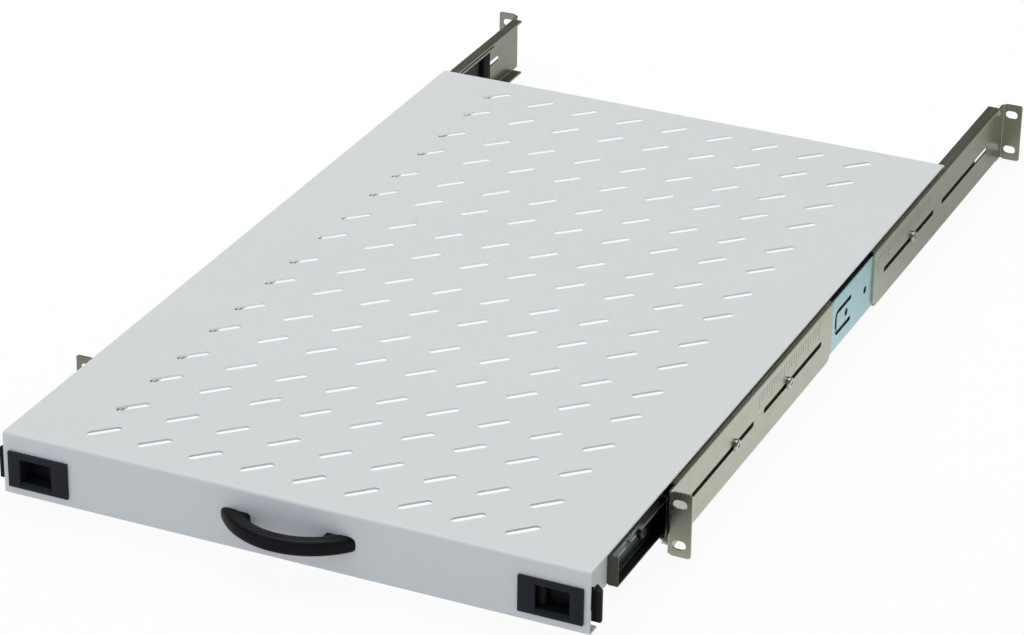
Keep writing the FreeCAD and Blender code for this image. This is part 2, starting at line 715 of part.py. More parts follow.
def middle_member():
    """Middle slide member: balls of the outer cage run on it, those of the inner cage in it."""
    body = new_body("right_middle_member")
    section = channel(middle_face, middle_web_inside, lip_inside, lip_outside, middle_top,
                      inner_ball_height + lip_gap, dim.race_bend + dim.slide_sheet)
    pad(body, "middle_sheet", "XZ", section, dim.middle_start, dim.middle_start + dim.middle_length)
    return body


def inner_member():
    """Slide member on the side rail, open outwards, closed by a tab at its notched front end."""
    body = new_body("right_inner_member")
    web_bend = dim.slide_bend
    bend = web_bend - dim.slide_sheet
    under = inner_top - dim.slide_sheet
    section = outline(
        (rail_face, -inner_top, web_bend), (rail_face, inner_top, web_bend), (inner_edge, inner_top),
        (inner_edge, under), (inner_web_outside, under, bend), (inner_web_outside, -under, bend),
        (inner_edge, -under), (inner_edge, -inner_top))
    pad(body, "inner_sheet", "XZ", section, inner_start, inner_start + dim.slide_length)
    pad(body, "end_tab", "XZ", rectangle(inner_web_outside, inner_edge, -under, under),
        inner_start, inner_start + dim.slide_sheet)
    hole = [(add_circle, (inner_start + dim.inner_screw_first, 0), screw_hole)]
    screw_bore = pocket(body, "screw_bore", "YZ", hole, rail_face, inner_web_outside)
    repeat(body, "screw_bores", [screw_bore],
           [row_step(body, "Y", dim.inner_screw_spacing, dim.inner_screw_count)])
    notch_start = inner_start + dim.catch_first
    notch = rectangle(inner_edge - dim.catch_depth, inner_edge,
                      notch_start, notch_start + dim.catch_length)
    catch_notch = pocket(body, "catch_notch", "XY", notch, under, inner_top)
    repeat(body, "catch_notches", [catch_notch], [row_step(body, "Y", dim.catch_spacing, 2)])
    return body


def ball_pitch(length):
    return (length - dim.cage_end * 2) / (dim.balls_per_row - 1)


def ball_cage(name, face, height, start, length):
    """Thin channel with a hole for each ball in both flanges."""
    body = new_body(name)
    inside = face - dim.cage_sheet
    edge = inside - dim.cage_width
    top = height + dim.cage_sheet / 2
    under = height - dim.cage_sheet / 2
    section = outline((face, -top), (edge, -top), (edge, -under), (inside, -under), (inside, under),
                      (edge, under), (edge, top), (face, top))
    pad(body, "cage_sheet", "XZ", section, start, start + length)
    radius = dim.ball_diameter / 2 + dim.ball_hole_clearance
    hole = [(add_circle, (ball_place, start + dim.cage_end), radius)]
    ball_hole = pocket(body, "ball_hole", "XY", hole, -top, top)
    repeat(body, "ball_holes", [ball_hole],
           [row_step(body, "Y", ball_pitch(length), dim.balls_per_row)])
    return body


def ball_rows(name, height, start, length):
    """Upper and lower row of bearing balls."""
    body = new_body(name)
    ball = body.newObject("PartDesign::AdditiveSphere", "ball")
    ball.AttachmentSupport = (origin_feature(body, "XY_Plane"), [""])
    ball.MapMode = "FlatFace"
    bind(ball, "Radius", dim.ball_diameter / 2)
    for axis, place in zip("xyz", (ball_place, start + dim.cage_end, height)):
        bind(ball, f"AttachmentOffset.Base.{axis}", place)
    repeat(body, "balls", [ball],
           [row_step(body, "Y", ball_pitch(length), dim.balls_per_row), mirror_step(body, "XY")])
    return body


def slide_bumper():
    """Stop in the rear end of the outer member, behind the middle member's closed place."""
    body = new_body("right_slide_bumper")
    closing = dim.outer_start - inner_start
    front = dim.middle_start + dim.middle_length + closing / 2 + dim.cage_clearance
    block = rectangle(inner_edge + dim.cage_clearance, outer_web_inside,
                      -dim.bumper_height / 2, dim.bumper_height / 2)
    pad(body, "bumper_block", "XZ", block, front, dim.outer_start + dim.slide_length)
    return body


def inner_screws():
    body = new_body("right_inner_screws")
    place = inner_start + dim.inner_screw_first
    tip = rail_face - dim.shelf_sheet - dim.inner_screw_tip
    screw = turn(body, "screw", "XY", 0, ((tip, place), (inner_web_outside, place)),
                 screw_profile(tip, inner_web_outside, place, 1))
    repeat(body, "screws", [screw],
           [row_step(body, "Y", dim.inner_screw_spacing, dim.inner_screw_count)])
    return body


def clamping_screws(name, first, spacing=None):
    """Screws through an adjusting slot into the outer member."""
    body = new_body(name)
    screw = turn(body, "screw", "XY", 0, ((outer_web_inside, first), (web_face, first)),
                 screw_profile(outer_web_inside, web_face, first, 1))
    if spacing is not None:
        repeat(body, "screws", [screw], [row_step(body, "Y", spacing, 2)])
    return body


# Brackets

def front_bracket():
    """C channel with an ear bent outwards at its front end and two adjusting slots."""
    body = new_body("right_front_bracket")
    bend = dim.bracket_bend
    inner = bend - dim.bracket_sheet
    flange_edge = web_face - dim.bracket_flange
    under = bracket_top - dim.bracket_sheet
    section = outline(
        (web_face, -bracket_top, bend), (web_face, bracket_top, bend), (flange_edge, bracket_top),
        (flange_edge, under), (slide_face, under, inner), (slide_face, -under, inner),
        (flange_edge, -under), (flange_edge, -bracket_top))
    pad(body, "channel", "XZ", section, dim.flange_setback, dim.bracket_length)
    ear_edge = dim.rack_width / 2
    fold = outline(
        (slide_face, 0, bend), (ear_edge, 0), (ear_edge, dim.bracket_sheet),
        (web_face, dim.bracket_sheet, inner), (web_face, dim.flange_setback),
        (slide_face, dim.flange_setback))
    pad(body, "ear_fold", "XY", fold, dim.ear_relief - bracket_top, bracket_top - dim.ear_relief)
    ear = rectangle(web_face + inner, ear_edge, -bracket_top, bracket_top, dim.ear_corner)
    pad(body, "ear", "XZ", ear, 0, dim.bracket_sheet)

    reach = (dim.hole_length - dim.hole_width) / 2
    middle = dim.hole_span / 2
    height = dim.hole_pitch / 2
    hole = [(add_slot, (middle - reach, height), (middle + reach, height), dim.hole_width / 2)]
    rack_hole = pocket(body, "rack_hole", "XZ", hole, 0, dim.bracket_sheet)
    repeat(body, "rack_holes", [rack_hole], [mirror_step(body, "XY")])

    radius = dim.adjust_slot_width / 2
    start = dim.adjust_slot_start
    slot = [(add_slot, (start + radius, 0), (start + dim.adjust_slot_length - radius, 0), radius)]
    adjust_slot = pocket(body, "adjust_slot", "YZ", slot, slide_face, web_face)
    repeat(body, "adjust_slots", [adjust_slot],
           [row_step(body, "Y", dim.adjust_slot_length + dim.adjust_slot_gap, 2)])

    end = dim.bracket_length
    corner = outline((end - dim.end_chamfer, -bracket_top), (end, -bracket_top),
                     (end, dim.end_chamfer - bracket_top))
    pocket(body, "end_corner", "YZ", corner, flange_edge, web_face)
    return body


def rear_bracket(front):
    """The front bracket mirrored, its ear at the back."""
    piece = mirrored(front, "right_rear_bracket", (0, 1, 0))
    bind(piece, "Base.y", dim.mount_depth / 2)
    return piece


# Assembly

outer_row = (outer_ball_height, dim.outer_cage_start, dim.outer_cage_length)
inner_row = (inner_ball_height, dim.inner_cage_start, dim.inner_cage_length)
pieces = [shelf_tray(), handle(), handle_screws()]
right_bracket = front_bracket()
for right in (side_rail(), latch_housing(), latch_bolt(), latch_spring(),
              outer_member(), middle_member(), inner_member(),
              ball_cage("right_outer_cage", outer_cage_face, *outer_row),
              ball_rows("right_outer_balls", *outer_row),
              ball_cage("right_inner_cage", inner_cage_face, *inner_row),
              ball_rows("right_inner_balls", *inner_row),
              slide_bumper(), inner_screws(),
              clamping_screws("right_front_screws", dim.front_screw_first, dim.front_screw_spacing),
              clamping_screws("right_rear_screw", dim.rear_screw_place),
              right_bracket, rear_bracket(right_bracket)):
    pieces += [right, left_of(right)]
doc.recompute()

for item in doc.Objects:
    if "Invalid" in item.State or "Error" in item.State:
        raise RuntimeError(f"{item.Label} failed: {item.State}")
for piece in pieces:
    if piece.Shape.isNull() or not piece.Shape.isValid():
        raise RuntimeError(f"{piece.Label} has no valid shape")

os.makedirs("parts", exist_ok=True)
for piece in pieces:
    piece.Shape.exportStep(f"parts/{piece.Label}.step")
    print(piece.Label, len(piece.Shape.Solids), round(piece.Shape.Volume, 1))
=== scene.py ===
import json
import math
from collections import namedtuple

import bpy
from mathutils import Matrix, Vector

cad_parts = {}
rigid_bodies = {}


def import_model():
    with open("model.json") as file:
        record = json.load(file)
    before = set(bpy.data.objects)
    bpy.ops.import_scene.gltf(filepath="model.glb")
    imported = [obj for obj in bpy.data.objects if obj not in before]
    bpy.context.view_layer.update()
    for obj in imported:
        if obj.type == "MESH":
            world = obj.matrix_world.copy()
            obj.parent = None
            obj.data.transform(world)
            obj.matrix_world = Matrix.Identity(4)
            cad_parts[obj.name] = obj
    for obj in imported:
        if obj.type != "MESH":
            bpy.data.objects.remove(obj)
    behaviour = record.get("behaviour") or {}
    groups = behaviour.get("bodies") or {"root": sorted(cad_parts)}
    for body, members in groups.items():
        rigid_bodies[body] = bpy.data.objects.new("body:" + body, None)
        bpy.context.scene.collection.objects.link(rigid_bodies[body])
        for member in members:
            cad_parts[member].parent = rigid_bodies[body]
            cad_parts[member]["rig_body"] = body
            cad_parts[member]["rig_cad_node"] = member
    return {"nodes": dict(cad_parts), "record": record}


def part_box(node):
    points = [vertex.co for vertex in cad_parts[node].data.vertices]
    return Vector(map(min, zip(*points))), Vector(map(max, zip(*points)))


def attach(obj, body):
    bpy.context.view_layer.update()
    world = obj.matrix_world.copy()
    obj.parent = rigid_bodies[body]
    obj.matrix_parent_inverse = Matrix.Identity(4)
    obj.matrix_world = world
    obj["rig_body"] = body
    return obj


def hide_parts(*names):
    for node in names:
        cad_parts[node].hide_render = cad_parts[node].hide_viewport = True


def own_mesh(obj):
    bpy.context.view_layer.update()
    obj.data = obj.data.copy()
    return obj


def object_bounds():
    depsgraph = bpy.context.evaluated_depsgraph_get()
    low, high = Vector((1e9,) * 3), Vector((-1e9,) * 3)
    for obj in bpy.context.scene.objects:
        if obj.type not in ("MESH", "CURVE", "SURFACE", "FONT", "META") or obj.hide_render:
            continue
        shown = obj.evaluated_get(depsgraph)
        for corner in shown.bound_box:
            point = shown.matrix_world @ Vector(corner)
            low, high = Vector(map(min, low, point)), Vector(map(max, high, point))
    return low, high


# Sliding rack shelf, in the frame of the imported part: X runs to the right, Y to the back, Z up,
# and the front ears stand at Y = 0. Pieces are given in millimetres, finishes and the studio in
# metres.

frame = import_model()
nodes = frame["nodes"]
cad_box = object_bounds()

MM = 0.001
NEAR = 0.02       # places closer than this count as the same
WELD = 0.002      # points closer than this are merged
SQUARE = 0.9      # share of a face's normal that makes it face along an axis
FLAT = 0.99       # the same for a face that is no part of a broken edge


Corner = namedtuple("Corner", "x y z")


def box_of(node):
    """Lowest and highest corner of a node, to the micrometre."""
    return [Corner(*(round(part / MM, 3) for part in corner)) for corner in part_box(node)]


def middle_height(node):
    low, high = box_of(node)
    return (low.z + high.z) / 2


# Sizes and places that several pieces share
SHEET = 1.5                                       # tray and brackets
SLIDE_SHEET = 1.2
CLEARANCE = 0.02                                  # under running brackets and screw heads
PANEL = box_of("shelf_tray")[0].y                 # front of the front panel
SLIDE_FACE = box_of("right_outer_member")[1].x    # outer face of the fixed slides
WEB_FACE = SLIDE_FACE + SHEET                     # outer face of the brackets
HANDLE_HEIGHT = middle_height("handle")
LATCH_MIDDLE = middle_height("right_latch_housing")

# Camera of the photograph
CAMERA_PLACE = Vector((1.0419, -2.0938, 1.2812))
CAMERA_AZIMUTH = math.radians(24.105)
CAMERA_ELEVATION = math.radians(26.628)
CAMERA_ROLL = math.radians(0.774)
CAMERA_LENS = 132.62
CAMERA_SENSOR = 36.0
CAMERA_CLIP = (0.05, 50.0)

# Light: the sky that falls on the part, and what metal mirrors, a white horizon under a dim ceiling
SKY_LEVEL = 0.56
CEILING_LEVEL = 0.13
CEILING_START = 0.20
WHITE = (1.0, 1.0, 1.0, 1.0)

# Floor: pale paper with a share of plain white in it, as the camera, metal and all else see it,
# how bright metal mirrors it at places along Y, and the lit patch that brightens the shaded sheet
# under the tray
PAPER = (0.86, 0.86, 0.86, 1.0)
FLOOR_WHITE = 0.92
FLOOR_MIRRORED = 0.86
FLOOR_GLOW = 0.50
FLOOR_SHADES = ((-0.06, 0.36), (0.04, 1.0), (0.30, 1.0), (0.62, 0.48))
FLOOR_SIZE = 14.0
FLOOR_DROP = 0.0005
PATCH_GLOW = 1.6
PATCH_MIDDLE = (0.0, 0.23)
PATCH_HALF = (0.20, 0.35)
PATCH_FADE = 0.02


# Modelling steps

def deselect_all():
    """Leave edit mode and select nothing."""
    if bpy.context.object and bpy.context.object.mode != "OBJECT":
        bpy.ops.object.mode_set(mode="OBJECT")
    bpy.ops.object.select_all(action="DESELECT")


def open_mesh():
    bpy.ops.object.mode_set(mode="EDIT")


def close_mesh():
    bpy.ops.object.mode_set(mode="OBJECT")


def pick_all():
    bpy.ops.mesh.select_all(action="SELECT")


def take(piece):
    """Make a piece the one at hand, alone."""
    deselect_all()
    piece.select_set(True)
    bpy.context.view_layer.objects.active = piece


def apply_place():
    bpy.ops.object.transform_apply(location=True, rotation=True, scale=True)


def rename(piece, name):
    piece.name = name
    piece.data.name = name


def start_piece(name):
    """Put the new object's place into its mesh, name it and open it for shaping."""
    apply_place()
    piece = bpy.context.object
    rename(piece, name)
    open_mesh()
    return piece


def add_block(low, high):
    """Block between two corners; in edit mode it joins the piece at hand and is selected."""
    place = [(a + b) / 2 * MM for a, b in zip(low, high)]
    size = [(b - a) * MM for a, b in zip(low, high)]
    bpy.ops.mesh.primitive_cube_add(size=1.0, location=place, scale=size)


def start_block(name, low, high):
    deselect_all()
    add_block(low, high)
    return start_piece(name)


def at(value, place):
    return abs(value - place) < NEAR


def between(value, low, high):
    return low - NEAR < value < high + NEAR


def inside(place, box):
    """Whether a place lies in a box given by its lowest and highest X and Z."""
    return between(place.x, box[0], box[1]) and between(place.z, box[2], box[3])


def pick(kind, test):
    """Select the faces (by middle and normal) or edges (by both ends) that pass a test."""
    mesh = bpy.context.object.data
    bpy.ops.mesh.select_mode(type=kind)
    bpy.ops.mesh.select_all(action="DESELECT")
    close_mesh()
    if kind == "FACE":
        for face in mesh.polygons:
            face.select = bool(test(face.center / MM, face.normal))
    else:
        for edge in mesh.edges:
            edge.select = bool(test(*(mesh.vertices[index].co / MM for index in edge.vertices)))
    open_mesh()


def pick_edges(test):
    """Select the edges with both ends at places that pass a test."""
    pick("EDGE", lambda start, end: test(start) and test(end))


def cut(axis, place, below_only=False):
    """Slice the whole piece across an axis; keep both parts, or only the closed lower one."""
    pick_all()
    point, normal = [0.0, 0.0, 0.0], [0.0, 0.0, 0.0]
    point[axis] = place * MM
    normal[axis] = 1.0
    bpy.ops.mesh.bisect(plane_co=point, plane_no=normal, use_fill=below_only,
                        clear_outer=below_only)


def push(x, y, z):
    """Extrude the selected faces."""
    bpy.ops.mesh.extrude_region_move(
        TRANSFORM_OT_translate={"value": (x * MM, y * MM, z * MM)})


def soften(width, segments=2):
    """Bevel the selected edges."""
    bpy.ops.mesh.bevel(offset=width * MM, segments=segments, affect="EDGES", clamp_overlap=True)


def modify(kind, **settings):
    """Apply one modifier to the piece at hand."""
    piece = bpy.context.object
    if piece.mode != "OBJECT":
        close_mesh()
    modifier = piece.modifiers.new(kind.lower(), kind)
    for key, value in settings.items():
        setattr(modifier, key, value)
    bpy.ops.object.modifier_apply(modifier=modifier.name)


def eased(width):
    """Round all sharp edges."""
    modify("BEVEL", width=width * MM, segments=2, limit_method="ANGLE",
           angle_limit=math.radians(40))


def weld():
    """Merge the points that lie on each other, in the opened mesh."""
    pick_all()
    bpy.ops.mesh.remove_doubles(threshold=WELD * MM)


def facing_out():
    open_mesh()
    pick_all()
    bpy.ops.mesh.normals_make_consistent(inside=False)
    close_mesh()


def copy_of(piece, name):
    """Copy of a piece with its own mesh."""
    take(piece)
    bpy.ops.object.duplicate()
    copy = bpy.context.object
    rename(copy, name)
    return copy


def left_copy(piece):
    """Left-hand copy of a right-hand piece."""
    copy = copy_of(piece, piece.name.replace("right", "left"))
    open_mesh()
    pick_all()
    bpy.ops.transform.resize(value=(-1, 1, 1), center_override=(0, 0, 0))
    facing_out()
    return copy


def settle(piece, slot, body, *replaced, smooth=35, flat=False, finish=None):
    """Shade a piece, smooth up to an angle in degrees, finish it, let it ride on its body and
    stand for its node."""
    take(piece)
    bpy.ops.object.shade_smooth_by_angle(angle=math.radians(smooth))
    if flat:
        modify("WEIGHTED_NORMAL", weight=100, keep_sharp=True)
    piece.data.materials.clear()
    piece.data.materials.append(FINISHES[finish or slot])
    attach(piece, body)
    for node in replaced:
        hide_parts(node)


def settle_pair(right, slot, body, node=None, **look):
    """Copy a right-hand piece to the left and settle both; {side} stands for their side."""
    pair = {"right": right, "left": left_copy(right)}
    for side, piece in pair.items():
        replaced = [f"{side}_{node}"] if node else []
        settle(piece, slot, body.format(side=side), *replaced, **look)
    return pair


# Finishes

class Wiring:
    """A node tree at hand, and short ways to add and join its nodes."""

    def __init__(self, tree):
        self.tree = tree

    def add(self, kind, **settings):
        node = self.tree.nodes.new(kind)
        for key, value in settings.items():
            setattr(node, key, value)
        return node

    def join(self, source, target):
        self.tree.links.new(source, target)

    def fed_by(self, target):
        """What already feeds a socket, if anything does."""
        sources = (link.from_socket for link in self.tree.links if link.to_socket == target)
        return next(sources, None)

    def math(self, operation, *values):
        """One step of arithmetic on numbers and patterns."""
        node = self.add("ShaderNodeMath", operation=operation)
        for socket, value in zip(node.inputs, values):
            if isinstance(value, (int, float)):
                socket.default_value = value
            else:
                self.join(value, socket)
        return node.outputs["Value"]

    def both(self, first, second):
        return self.math("MULTIPLY", first, second)

    def either(self, first, second):
        return self.math("MAXIMUM", first, second)

    def outside(self, pattern):
        return self.math("SUBTRACT", 1.0, pattern)

    def split(self, vector):
        """The X, Y and Z of a vector."""
        parts = self.add("ShaderNodeSeparateXYZ")
        self.join(vector, parts.inputs["Vector"])
        return parts.outputs

    def spread(self, source, low, high, start=0.3, end=0.7, **settings):
        """The part of a pattern between start and end, laid out from low to high."""
        spread = self.add("ShaderNodeMapRange", **settings)
        limits = {"From Min": start, "From Max": end, "To Min": low, "To Max": high}
        for socket, value in limits.items():
            spread.inputs[socket].default_value = value
        self.join(source, spread.inputs["Value"])
        return spread.outputs["Result"]


class Finish(Wiring):
    """A surface finish: its node tree, with the shader at hand."""

    def __init__(self, name, colour, metallic=0.0, specular=0.5):
        self.material = bpy.data.materials.new(name)
        self.material.use_nodes = True
        super().__init__(self.material.node_tree)
        self.shader = self.tree.nodes["Principled BSDF"]
        self.colour = self.shader.inputs["Base Color"]
        self.colour.default_value = (*colour, 1.0)
        self.shader.inputs["Metallic"].default_value = metallic
        self.shader.inputs["Specular IOR Level"].default_value = specular
        self.place = self.add("ShaderNodeTexCoord").outputs["Object"]

    def stretched(self, scale):
        """Object coordinates scaled along X, Y and Z, for a pattern with a grain."""
        mapping = self.add("ShaderNodeMapping")
        mapping.inputs["Scale"].default_value = scale
        self.join(self.place, mapping.inputs["Vector"])
        return mapping.outputs["Vector"]

    def noise(self, scale, detail=2.0, rough=0.5, vector=None):
        """Cloudy pattern from 0 to 1; scale is in patches per metre."""
        noise = self.add("ShaderNodeTexNoise")
        noise.inputs["Scale"].default_value = scale
        noise.inputs["Detail"].default_value = detail
        noise.inputs["Roughness"].default_value = rough
        self.join(vector or self.place, noise.inputs["Vector"])
        return noise.outputs["Fac"]

    def band(self, axis, low, high, fade=0.0002):
        """1 between two places along X (either side), Y or Z, 0 outside, with soft ends."""
        value = self.split(self.place)[axis]
        if axis == "X":
            value = self.math("ABSOLUTE", value)
        rise = self.spread(value, 0.0, 1.0, low - fade, low + fade)
        fall = self.spread(value, 1.0, 0.0, high - fade, high + fade)
        return self.both(rise, fall)

    def tint(self, factor, colour):
        """Blend the base colour towards another one where the pattern is high."""
        mix = self.add("ShaderNodeMix", data_type="RGBA")
        under = self.fed_by(self.colour)
        if under:
            self.join(under, mix.inputs["A"])
        else:
            mix.inputs["A"].default_value = self.colour.default_value
        mix.inputs["B"].default_value = (*colour, 1.0)
        self.join(factor, mix.inputs["Factor"])
        self.join(mix.outputs["Result"], self.colour)

    def rough(self, source):
        self.join(source, self.shader.inputs["Roughness"])

    def bump(self, source, height):
        """Raise the surface by a pattern; height in metres."""
        bump = self.add("ShaderNodeBump")
        bump.inputs["Strength"].default_value = 1.0
        bump.inputs["Distance"].default_value = height
        under = self.fed_by(self.shader.inputs["Normal"])
        if under:
            self.join(under, bump.inputs["Normal"])
        self.join(source, bump.inputs["Height"])
        self.join(bump.outputs["Normal"], self.shader.inputs["Normal"])


def shade(colour, factor):
    return tuple(part * factor for part in colour)


def powder_coat():
    """Light grey powder coat: fine orange peel, faint clouds and specks."""
    finish = Finish("powder_coat", COAT)
    clouds = finish.spread(finish.noise(7.0, 3.0), 0.0, 0.35)
    finish.tint(clouds, shade(COAT, 1.05))
    specks = finish.spread(finish.noise(2600.0, 1.0), 0.0, 0.25, 0.58, 0.72)
    finish.tint(specks, shade(COAT, 0.86))
    finish.rough(finish.spread(finish.noise(160.0, 2.0), 0.36, 0.50))
    finish.bump(finish.noise(620.0, 2.0), 0.00006)
    finish.bump(finish.noise(2200.0, 1.0), 0.00001)
    return finish.material


def zinc_plate(name, colour, roughness, cloud, shade_light_and_tones):
    """Passivated zinc: rolled grain, cloudy passivation, small dull spots, and the painted shade
    and light and the tones of its piece; where painted light lies on a lower lip, the metal is
    dull."""
    finish = Finish(name, colour, metallic=1.0)
    clouds = finish.spread(finish.noise(16.0, 4.0, 0.6), 0.0, 0.5)
    finish.tint(clouds, cloud)
    spots = finish.spread(finish.noise(90.0, 3.0, 0.6), 0.0, 0.3, 0.5, 0.75)
    finish.tint(spots, shade(colour, 0.72))
    lip_light = shade_light_and_tones(finish)
    rolled = finish.noise(1.0, 3.0, 0.6, finish.stretched(ROLLED))
    gloss = finish.spread(rolled, roughness - 0.08, roughness + 0.10)
    # Where painted light lies on a lower lip, the metal is made dull and rougher
    if lip_light:
        gloss = finish.math("MULTIPLY_ADD", lip_light, 0.5, gloss)
        finish.join(finish.outside(lip_light), finish.shader.inputs["Metallic"])
    finish.rough(gloss)
    finish.bump(rolled, 0.000012)
    finish.bump(finish.noise(420.0, 2.0), 0.000012)
    return finish.material


def moulded_plastic(name, colour, roughness, specular):
    """Black moulded plastic: spark-eroded texture and a soft uneven sheen."""
    finish = Finish(name, colour, specular=specular)
    clouds = finish.spread(finish.noise(45.0, 3.0), 0.0, 0.5)
    finish.tint(clouds, shade(colour, 1.5))
    sheen = finish.spread(finish.noise(300.0, 2.0), roughness - 0.06, roughness + 0.10)
    finish.rough(sheen)
    finish.bump(finish.noise(1800.0, 2.0), 0.00003)
    return finish.material


def bright_steel(name, colour, roughness):
    """Bare or polished steel with light handling marks."""
    finish = Finish(name, colour, metallic=1.0)
    marks = finish.spread(finish.noise(240.0, 3.0, 0.6), 0.0, 0.5)
    finish.tint(marks, shade(colour, 0.75))
    sheen = finish.spread(finish.noise(700.0, 2.0), roughness - 0.05, roughness + 0.10)
    finish.rough(sheen)
    return finish.material


# Painted shade and light, and tones, of the zinc-plated pieces: colours, then places along
# X, Y or Z in metres
# Painted shade, dark as grease, for the fixed slide's channel and a stripe behind the bracket slots
PAINTED_SHADE = (0.022, 0.024, 0.022)
# A lighter cut edge, with a painted highlight
CUT_EDGE_HIGHLIGHT = (0.42, 0.44, 0.40)
# Painted light for the shaded lower lips, pale and grey, dull like a zinc bloom
PALE_LIP_LIGHT = (0.88, 0.89, 0.85)
GREY_LIP_LIGHT = (0.78, 0.79, 0.76)
FLANGE_OLIVE = (0.085, 0.09, 0.075)
TAB_OLIVE = (0.13, 0.135, 0.105)
# Painted highlights for the pull-out slide's flange rim and front end
RIM_HIGHLIGHT = (0.50, 0.52, 0.48)
NOTCH_HIGHLIGHT = (0.42, 0.44, 0.41)
LIP_ALONG = (0.010, 0.672)             # Y of the lower lips, up to the rear stop
BRACKET_LIP_HIGH = (-0.0260, -0.0225)  # Z of the bracket's lip
BRACKET_LIP_WIDE = (0.2140, 0.2175)    # X of the bracket's lip
BRACKET_LIP_EDGE = (0.2140, 0.2152)    # X of its edge
SLIDE_LIP_HIGH = (-0.0225, -0.0188)    # Z of the fixed slide's lip
SLIDE_LIP_WIDE = (0.2140, 0.2192)      # X of the fixed slide's lip
SLIDE_LIP_EDGE = (0.2140, 0.2154)      # X of its cut edge
SLIDE_END = (0.6698, 0.6720)           # Y of the fixed slide's rear end
WEB_SKIN = (0.2229, 0.2300)            # X of the outside of the fixed slide
WEB_BARE = (0.316, 0.424)              # Y where no bracket covers it
STRIPE_HIGH = (-0.0036, 0.0036)        # Z of the stripe of painted shade behind the bracket slots
FLANGE_HIGH = (0.0108, 0.0130)         # Z of the pull-out slide's upper flange
FLANGE_RIM_WIDE = (0.2184, 0.2200)     # X of its rim
NOTCH_WIDE = (0.2150, 0.2200)          # X of the painted highlight at its front end
NOTCH_ALONG = (-0.077, -0.031)         # Y of the painted highlight at its front end
TAB_ALONG = (-0.077, -0.0735)          # Y of the front tab


def paint_lip_light(finish, wide, high, lip_light):
    """Lower inner lip beside the slide, with painted light, dull like a zinc bloom, from the
    bracket to the rear stop.
    """
    lip = finish.both(finish.band("X", *wide), finish.band("Z", *high))
    lip = finish.both(lip, finish.band("Y", *LIP_ALONG, fade=0.002))
    finish.tint(lip, lip_light)
    return lip


def bracket_lip_light(finish):
    """Painted light on the lip of the lower flange, paler behind the edge."""
    lip = paint_lip_light(finish, BRACKET_LIP_WIDE, BRACKET_LIP_HIGH, PALE_LIP_LIGHT)
    paint_lip_light(finish, BRACKET_LIP_EDGE, BRACKET_LIP_HIGH, GREY_LIP_LIGHT)
    return lip


def fixed_slide_shade_and_light(finish):
    """Painted shade, dark as grease, inside the channel and in a stripe behind the bracket slots;
    cut edges lighter, with a painted highlight; painted light on the lower lip.
    """
    stripe = finish.band("Z", *STRIPE_HIGH, fade=0.0008)
    # Painted shade in a stripe behind the bracket slots, where a bracket covers the web
    slot_shade = finish.both(stripe, finish.outside(finish.band("Y", *WEB_BARE, fade=0.012)))
    inner = finish.outside(finish.band("X", *WEB_SKIN))
    finish.tint(finish.either(inner, slot_shade), PAINTED_SHADE)
    edges = finish.either(finish.band("X", *SLIDE_LIP_EDGE), finish.band("Y", *SLIDE_END))
    finish.tint(edges, CUT_EDGE_HIGHLIGHT)
    return paint_lip_light(finish, SLIDE_LIP_WIDE, SLIDE_LIP_HIGH, GREY_LIP_LIGHT)


def pull_slide_tones_and_highlights(finish):
    """Painted highlights on the flange rim and front end; flange tops and front tab dull olive;
    no painted light on a lip.
    """
    flange = finish.band("Z", *FLANGE_HIGH)
    finish.tint(flange, FLANGE_OLIVE)
    finish.tint(finish.band("Y", *TAB_ALONG, fade=0.0003), TAB_OLIVE)
    # Painted highlights on the flange rim and on the front end of the flange
    finish.tint(finish.both(finish.band("X", *FLANGE_RIM_WIDE), flange), RIM_HIGHLIGHT)
    notch = finish.both(finish.band("Y", *NOTCH_ALONG, fade=0.004),
                        finish.band("X", *NOTCH_WIDE))
    finish.tint(finish.both(notch, flange), NOTCH_HIGHLIGHT)
    return None


COAT = (0.60, 0.625, 0.625)
OLIVE = (0.43, 0.44, 0.345)
BLUE = (0.42, 0.66, 0.68)
BLUE_CLOUD = (0.37, 0.58, 0.66)
OILED = (0.13, 0.15, 0.147)
OILED_CLOUD = (0.16, 0.18, 0.175)
ROLLED = (900.0, 14.0, 900.0)          # grain of rolled sheet along Y

FINISHES = {
    "shelf_paint": powder_coat(),
    "bracket_zinc": zinc_plate("olive_zinc", OLIVE, 0.27, shade(OLIVE, 0.88), bracket_lip_light),
    "blue_zinc": zinc_plate("blue_zinc", BLUE, 0.34, BLUE_CLOUD, fixed_slide_shade_and_light),
    "slide_zinc": zinc_plate("slide_zinc", OILED, 0.30, OILED_CLOUD, pull_slide_tones_and_highlights),
    "black_handle": moulded_plastic("handle_plastic", (0.0055, 0.0054, 0.0062), 0.38, 0.15),
    "latch_plastic": moulded_plastic("latch_plastic", (0.0115, 0.0125, 0.0185), 0.40, 0.25),
    "bolt_plastic": moulded_plastic("bolt_plastic", (0.0065, 0.0065, 0.007), 0.42, 0.20),
    "bumper_rubber": moulded_plastic("bumper_rubber", (0.010, 0.010, 0.010), 0.70, 0.20),
    "spring_steel": bright_steel("spring_steel", (0.45, 0.45, 0.46), 0.30),
    "cage_steel": bright_steel("cage_steel", (0.50, 0.50, 0.49), 0.35),
    "ball_steel": bright_steel("ball_steel", (0.62, 0.62, 0.63), 0.12),
    "screw_zinc": bright_steel("screw_zinc", (0.55, 0.56, 0.52), 0.28),
    "slide_screw": bright_steel("oiled_screw", (0.10, 0.105, 0.10), 0.34),
    "scale_mark": bright_steel("etched_mark", (0.27, 0.275, 0.215), 0.42),
}

slot_of = {row["node"]: row["material_slot"] for row in frame["record"]["subparts"]}
for name, node in nodes.items():
    node.data.materials.clear()
    node.data.materials.append(FINISHES[slot_of[name]])


# Handle

